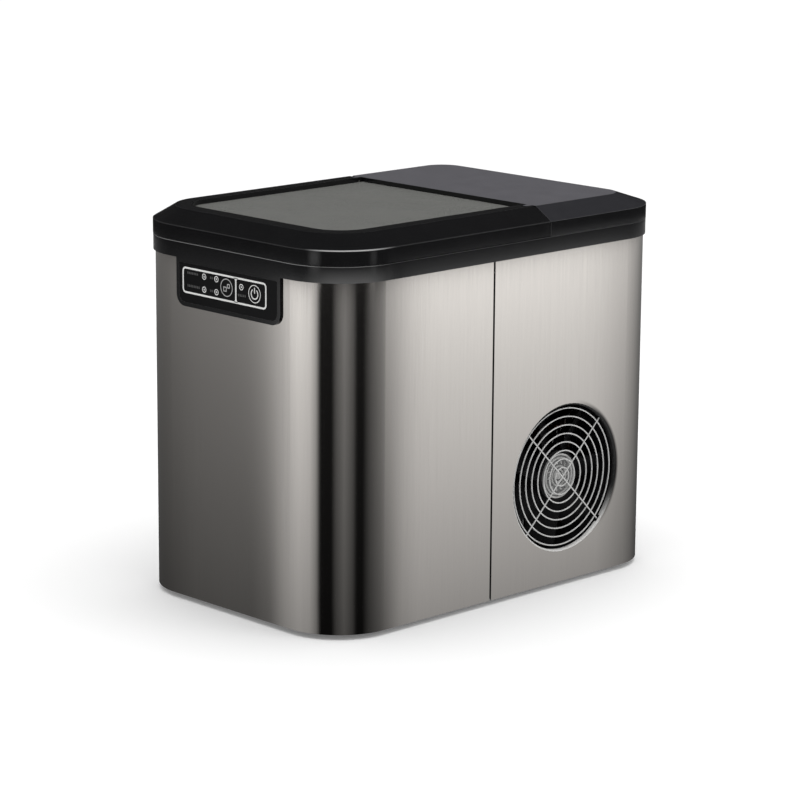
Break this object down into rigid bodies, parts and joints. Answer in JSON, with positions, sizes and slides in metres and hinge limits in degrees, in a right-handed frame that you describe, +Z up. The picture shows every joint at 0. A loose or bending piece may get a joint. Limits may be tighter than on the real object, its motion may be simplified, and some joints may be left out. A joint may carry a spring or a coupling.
{
  "type": "ice maker",
  "caption": "Compact countertop ice maker: brushed steel cabinet with round side fan grille, black hinged lid with smoked window, front key panel, bullet maker and basket inside.",
  "frame": {"origin": "on the floor under the middle of the machine's overall box", "axes": "+Z up; -Y is the front with the control panel; +X is the side with the round fan grille; Y runs along the long sides"},
  "size_m": [0.2338, 0.3576, 0.2991],
  "materials": {
    "steel_wrap": "satin",
    "frame_black": "satin",
    "lid_black": "gloss",
    "cover_black": "matte",
    "smoked_window": "gloss",
    "panel_film": "satin",
    "led_pipe": "gloss",
    "key_black": "satin",
    "base_black": "matte",
    "foot_rubber": "matte",
    "drain_black": "satin",
    "board_green": "satin",
    "zinc_sheet": "satin",
    "liner_grey": "satin",
    "foam_white": "matte",
    "basket_clear": "gloss",
    "tray_white": "satin",
    "shaft_steel": "satin",
    "pump_black": "matte",
    "hose_silicone": "satin",
    "copper_tube": "satin",
    "nickel_plate": "polished",
    "fan_black": "matte",
    "guard_wire": "polished",
    "badge_steel": "polished",
    "fin_aluminium": "satin",
    "compressor_paint": "satin",
    "compressor_iron": "matte"
  },
  "bodies": {
    "cabinet": {"base_tray": "base_black", "feet": "foot_rubber", "front_shell": "steel_wrap", "rear_shell": "steel_wrap", "top_frame": "frame_black", "control_film": "panel_film", "leds": "led_pipe", "control_board": "board_green", "rear_cover": "cover_black", "lid_hinge_pins": "zinc_sheet", "cover_screws": "zinc_sheet", "inner_liner": "liner_grey", "foam_jacket": "foam_white", "ice_sensors": "base_black", "level_probe": "base_black", "water_pump": "pump_black", "fill_hose": "hose_silicone", "ice_slide": "liner_grey", "tray_motor": "pump_black", "motor_bracket": "zinc_sheet", "pivot_bush": "liner_grey", "evaporator_tube": "copper_tube", "evaporator_fingers": "nickel_plate", "evaporator_holder": "liner_grey", "evaporator_cover": "liner_grey", "fan_frame": "fan_black", "fan_motor": "fan_black", "fan_guard": "guard_wire", "fan_screws": "zinc_sheet", "condenser_coil": "copper_tube", "condenser_fins": "fin_aluminium", "condenser_frame": "zinc_sheet", "compressor_shell": "compressor_paint", "compressor_motor": "compressor_iron", "compressor_grommets": "foot_rubber", "compressor_nuts": "zinc_sheet", "filter_drier": "copper_tube", "hot_gas_valve": "copper_tube", "discharge_tube": "copper_tube", "liquid_tube": "copper_tube", "capillary_tube": "copper_tube", "suction_tube": "copper_tube", "board_bracket": "zinc_sheet", "main_board": "board_green", "drain_bezel": "drain_black", "drain_spout": "drain_black", "power_inlet": "base_black"},
    "lid": {"lid_frame": "lid_black", "lid_window": "smoked_window"},
    "fan": {"fan_rotor": "fan_black", "hub_badge": "badge_steel"},
    "select_key": {"select_button": "key_black"},
    "power_key": {"power_button": "key_black"},
    "tray": {"water_tray": "tray_white", "tray_shafts": "shaft_steel"},
    "shovel": {"ice_shovel": "tray_white"},
    "basket": {"ice_basket": "basket_clear"},
    "plug": {"drain_plug": "drain_black"}
  },
  "joints": [
    {"name": "lid_hinge", "type": "hinge", "parent": "cabinet", "child": "lid", "pos_m": [0, 0.0383, 0.2956], "axis": [-1, 0, 0], "range_deg": [0, 88]},
    {"name": "fan_spin", "type": "hinge", "parent": "cabinet", "child": "fan", "pos_m": [0.0985, 0.065, 0.0865], "axis": [1, 0, 0], "continuous": true},
    {"name": "select_press", "type": "slide", "parent": "cabinet", "child": "select_key", "axis": [0, 1, 0], "range_m": [0, 0.0008], "stiffness_N_per_m": 400},
    {"name": "power_press", "type": "slide", "parent": "cabinet", "child": "power_key", "axis": [0, 1, 0], "range_m": [0, 0.0008], "stiffness_N_per_m": 400},
    {"name": "tray_tilt", "type": "hinge", "parent": "cabinet", "child": "tray", "pos_m": [0, 0, 0.231], "axis": [1, 0, 0], "range_deg": [0, 85]},
    {"name": "shovel_sweep", "type": "hinge", "parent": "cabinet", "child": "shovel", "pos_m": [0, 0, 0.231], "axis": [1, 0, 0], "range_deg": [0, 79]},
    {"name": "basket_lift", "type": "slide", "parent": "cabinet", "child": "basket", "axis": [0, 0, 1], "range_m": [0, 0.087]},
    {"name": "plug_pull", "type": "slide", "parent": "cabinet", "child": "plug", "axis": [-1, 0, 0], "range_m": [0, 0.03]}
  ],
  "couplings": [
    {"joint": "shovel_sweep", "follows": "tray_tilt", "ratio": 0.92}
  ]
}
